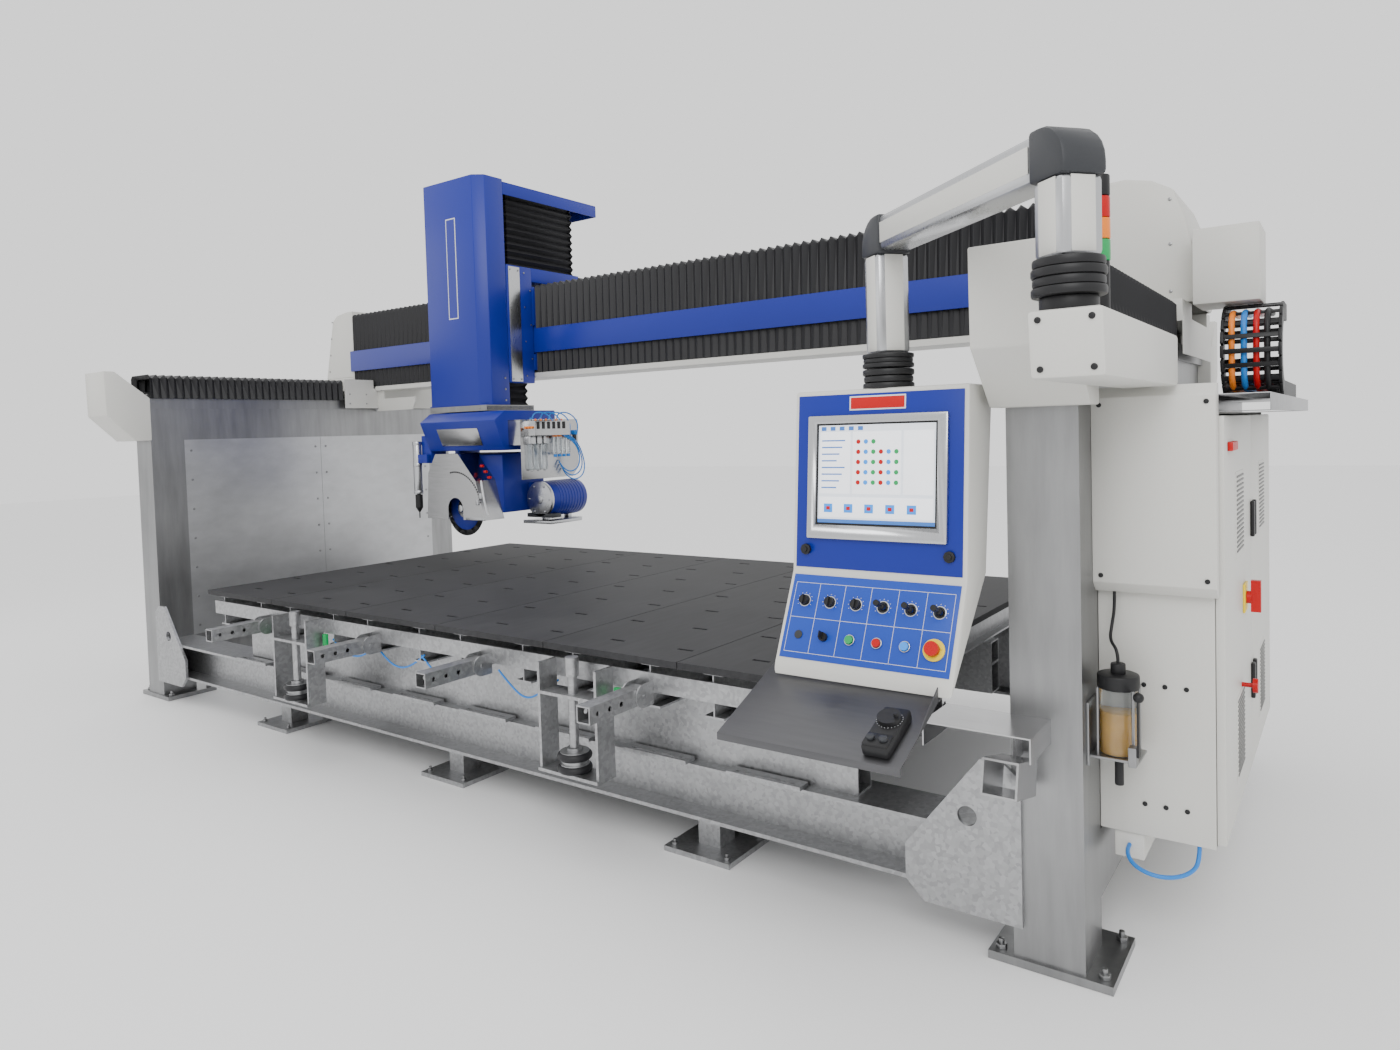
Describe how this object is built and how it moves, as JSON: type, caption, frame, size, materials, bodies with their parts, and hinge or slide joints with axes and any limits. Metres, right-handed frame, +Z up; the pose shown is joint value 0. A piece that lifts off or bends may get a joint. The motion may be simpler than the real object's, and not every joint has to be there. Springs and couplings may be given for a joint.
{
  "type": "cnc bridge saw",
  "caption": "Gantry machine that saws and routes stone slabs: jointed bridge, carriage, ram, tilting saw head, slab table, hanging console and control cabinet.",
  "frame": {"origin": "on the floor under the middle of the machine", "axes": "+Z up, +X along the bridge towards the operator console, +Y away from the operator"},
  "size_m": [6.63, 3.305, 3.22],
  "materials": {
    "steel": "satin",
    "galvanised": "matt",
    "cream_paint": "satin",
    "blue_paint": "satin",
    "grey_paint": "satin",
    "stainless": "satin",
    "aluminium": "satin",
    "black_rubber": "matt",
    "bellows_rubber": "satin",
    "black_plastic": "matt",
    "red_plastic": "gloss",
    "green_plastic": "gloss",
    "blue_plastic": "gloss",
    "amber": "gloss"
  },
  "bodies": {
    "frame": {"columns": "steel", "side_beams": "steel", "wall_panels": "galvanised", "rail_beds": "steel", "end_caps": "cream_paint", "rail_bellows": "bellows_rubber", "cross_beams": "galvanised", "levelling_feet": "galvanised", "table_joists": "galvanised", "table_boards": "black_rubber", "table_fittings": "galvanised", "tool_shelf": "stainless", "cabinet_body": "cream_paint", "grease_pump": "amber", "cable_chain": "black_plastic", "arm_base": "cream_paint", "pump_cable": "black_rubber", "cabinet_hose": "blue_plastic", "arm_hose": "black_rubber"},
    "gantry": {"gantry_trucks": "cream_paint", "bridge_beam": "cream_paint", "bridge_covers": "cream_paint", "bridge_bellows": "bellows_rubber"},
    "carriage": {"saddle": "blue_paint"},
    "ram": {"ram_column": "steel", "ram_cover": "blue_paint", "ram_bellows": "bellows_rubber"},
    "head": {"head_housing": "blue_paint", "valve_pack": "stainless"},
    "saw_unit": {"saw_body": "blue_paint", "blade_guard": "stainless"},
    "blade": {"saw_blade": "steel"},
    "probe": {"probe_tip": "black_plastic"},
    "arm": {"boom": "aluminium"},
    "console": {"console_case": "blue_paint", "console_screen": "grey_paint", "console_tray": "stainless"},
    "door_front": {"front_door": "cream_paint"},
    "door_rear": {"rear_door": "cream_paint"},
    "door_button_body": {"door_button": "red_plastic"},
    "estop_button_body": {"estop_button": "red_plastic"},
    "feed_knob_body": {"feed_knob": "black_plastic"},
    "handwheel_body": {"handwheel": "black_plastic"},
    "joystick_x_body": {"joystick_x": "black_plastic"},
    "joystick_y_body": {"joystick_y": "black_plastic"},
    "joystick_z_body": {"joystick_z": "black_plastic"},
    "key_switch_body": {"key_switch": "black_plastic"},
    "lift_post_1_body": {"lift_post_1": "galvanised"},
    "lift_post_2_body": {"lift_post_2": "galvanised"},
    "main_switch_body": {"main_switch": "red_plastic"},
    "mode_selector_body": {"mode_selector": "black_plastic"},
    "pump_lever_body": {"pump_lever": "black_plastic"},
    "reset_button_body": {"reset_button": "blue_plastic"},
    "speed_knob_body": {"speed_knob": "black_plastic"},
    "start_button_body": {"start_button": "green_plastic"},
    "stop_arm_1_body": {"stop_arm_1": "galvanised"},
    "stop_arm_2_body": {"stop_arm_2": "galvanised"},
    "stop_arm_3_body": {"stop_arm_3": "galvanised"},
    "stop_arm_4_body": {"stop_arm_4": "galvanised"},
    "stop_button_body": {"stop_button": "red_plastic"}
  },
  "joints": [
    {"name": "gantry_y", "type": "slide", "parent": "frame", "child": "gantry", "axis": [0, 1, 0], "range_m": [-1.28, 0.05], "deforming": ["rail_bellows", "cable_chain"]},
    {"name": "carriage_x", "type": "slide", "parent": "gantry", "child": "carriage", "axis": [1, 0, 0], "range_m": [-0.75, 3.1], "deforming": ["bridge_bellows"]},
    {"name": "ram_z", "type": "slide", "parent": "carriage", "child": "ram", "axis": [0, 0, 1], "range_m": [-0.17, 0.04], "deforming": ["ram_bellows"]},
    {"name": "head_swivel", "type": "hinge", "parent": "ram", "child": "head", "pos_m": [-1.1575, 0.48, 1.76], "axis": [0, 0, 1], "range_deg": [-185, 185]},
    {"name": "head_tilt", "type": "hinge", "parent": "head", "child": "saw_unit", "pos_m": [-1.1575, 0.59, 1.18], "axis": [1, 0, 0], "range_deg": [0, 90]},
    {"name": "blade_spin", "type": "hinge", "parent": "saw_unit", "child": "blade", "pos_m": [-1.1575, 0.3, 1.15], "axis": [0, 1, 0], "continuous": true},
    {"name": "probe_drop", "type": "slide", "parent": "head", "child": "probe", "axis": [0, 0, 1], "range_m": [-0.06, 0]},
    {"name": "arm_swivel", "type": "hinge", "parent": "frame", "child": "arm", "pos_m": [2.9975, -1.547, 1.86], "axis": [0, 0, 1], "range_deg": [0, 90]},
    {"name": "console_swivel", "type": "hinge", "parent": "arm", "child": "console", "pos_m": [2.348, -1.01, 1.77], "axis": [0, 0, 1], "range_deg": [-30, 30]},
    {"name": "front_door_hinge", "type": "hinge", "parent": "frame", "child": "door_front", "pos_m": [3.195, -0.712, 1], "axis": [0, 0, 1], "range_deg": [-110, 0]},
    {"name": "rear_door_hinge", "type": "hinge", "parent": "frame", "child": "door_rear", "pos_m": [3.195, 0.792, 1], "axis": [0, 0, 1], "range_deg": [0, 110]},
    {"name": "main_switch_turn", "type": "hinge", "parent": "door_front", "child": "main_switch_body", "pos_m": [3.193, -0.21, 1.02], "axis": [1, 0, 0], "range_deg": [0, 90]},
    {"name": "door_button_press", "type": "slide", "parent": "door_front", "child": "door_button_body", "axis": [1, 0, 0], "range_m": [-0.004, 0], "stiffness_N_per_m": 1500},
    {"name": "pump_lever_swing", "type": "hinge", "parent": "frame", "child": "pump_lever_body", "pos_m": [2.99, -0.886, 0.684], "axis": [1, 0, 0], "range_deg": [0, 45]},
    {"name": "stop_arm_1_swing", "type": "hinge", "parent": "frame", "child": "stop_arm_1_body", "pos_m": [-1.0775, -1.105, 0.67], "axis": [1, 0, 0], "range_deg": [-90, 0]},
    {"name": "stop_arm_2_swing", "type": "hinge", "parent": "frame", "child": "stop_arm_2_body", "pos_m": [-0.1975, -1.105, 0.67], "axis": [1, 0, 0], "range_deg": [-90, 0]},
    {"name": "stop_arm_3_swing", "type": "hinge", "parent": "frame", "child": "stop_arm_3_body", "pos_m": [0.5525, -1.105, 0.67], "axis": [1, 0, 0], "range_deg": [-90, 0]},
    {"name": "stop_arm_4_swing", "type": "hinge", "parent": "frame", "child": "stop_arm_4_body", "pos_m": [1.4025, -1.105, 0.67], "axis": [1, 0, 0], "range_deg": [-90, 0]},
    {"name": "lift_1_rise", "type": "slide", "parent": "frame", "child": "lift_post_1_body", "axis": [0, 0, 1], "range_m": [0, 0.05]},
    {"name": "lift_2_rise", "type": "slide", "parent": "frame", "child": "lift_post_2_body", "axis": [0, 0, 1], "range_m": [0, 0.05]},
    {"name": "start_button_press", "type": "slide", "parent": "console", "child": "start_button_body", "axis": [0, -0.9034, 0.4287], "range_m": [-0.0035, 0], "stiffness_N_per_m": 400},
    {"name": "stop_button_press", "type": "slide", "parent": "console", "child": "stop_button_body", "axis": [0, -0.9034, 0.4287], "range_m": [-0.0035, 0], "stiffness_N_per_m": 400},
    {"name": "reset_button_press", "type": "slide", "parent": "console", "child": "reset_button_body", "axis": [0, -0.9034, 0.4287], "range_m": [-0.0035, 0], "stiffness_N_per_m": 400},
    {"name": "estop_press", "type": "slide", "parent": "console", "child": "estop_button_body", "axis": [0, -0.9034, 0.4287], "range_m": [-0.004, 0], "stiffness_N_per_m": 900},
    {"name": "key_turn", "type": "hinge", "parent": "console", "child": "key_switch_body", "pos_m": [2.222, -1.22408, 0.98894], "axis": [0, -0.9034, 0.4287], "range_deg": [-45, 45]},
    {"name": "mode_turn", "type": "hinge", "parent": "console", "child": "mode_selector_body", "pos_m": [2.138, -1.17907, 1.0838], "axis": [0, -0.9034, 0.4287], "range_deg": [-60, 60]},
    {"name": "feed_turn", "type": "hinge", "parent": "console", "child": "feed_knob_body", "pos_m": [2.222, -1.17907, 1.0838], "axis": [0, -0.9034, 0.4287], "range_deg": [-150, 150]},
    {"name": "speed_turn", "type": "hinge", "parent": "console", "child": "speed_knob_body", "pos_m": [2.306, -1.17907, 1.0838], "axis": [0, -0.9034, 0.4287], "range_deg": [-150, 150]},
    {"name": "joystick_x_tilt", "type": "hinge", "parent": "console", "child": "joystick_x_body", "pos_m": [2.39, -1.18629, 1.08723], "axis": [1, 0, 0], "range_deg": [-15, 15], "stiffness_Nm_per_rad": 0.8},
    {"name": "joystick_y_tilt", "type": "hinge", "parent": "console", "child": "joystick_y_body", "pos_m": [2.474, -1.18629, 1.08723], "axis": [1, 0, 0], "range_deg": [-15, 15], "stiffness_Nm_per_rad": 0.8},
    {"name": "joystick_z_tilt", "type": "hinge", "parent": "console", "child": "joystick_z_body", "pos_m": [2.558, -1.18629, 1.08723], "axis": [1, 0, 0], "range_deg": [-15, 15], "stiffness_Nm_per_rad": 0.8},
    {"name": "handwheel_turn", "type": "hinge", "parent": "console", "child": "handwheel_body", "pos_m": [2.515, -1.42411, 0.85136], "axis": [0, -0.3709, 0.9287], "continuous": true}
  ]
}
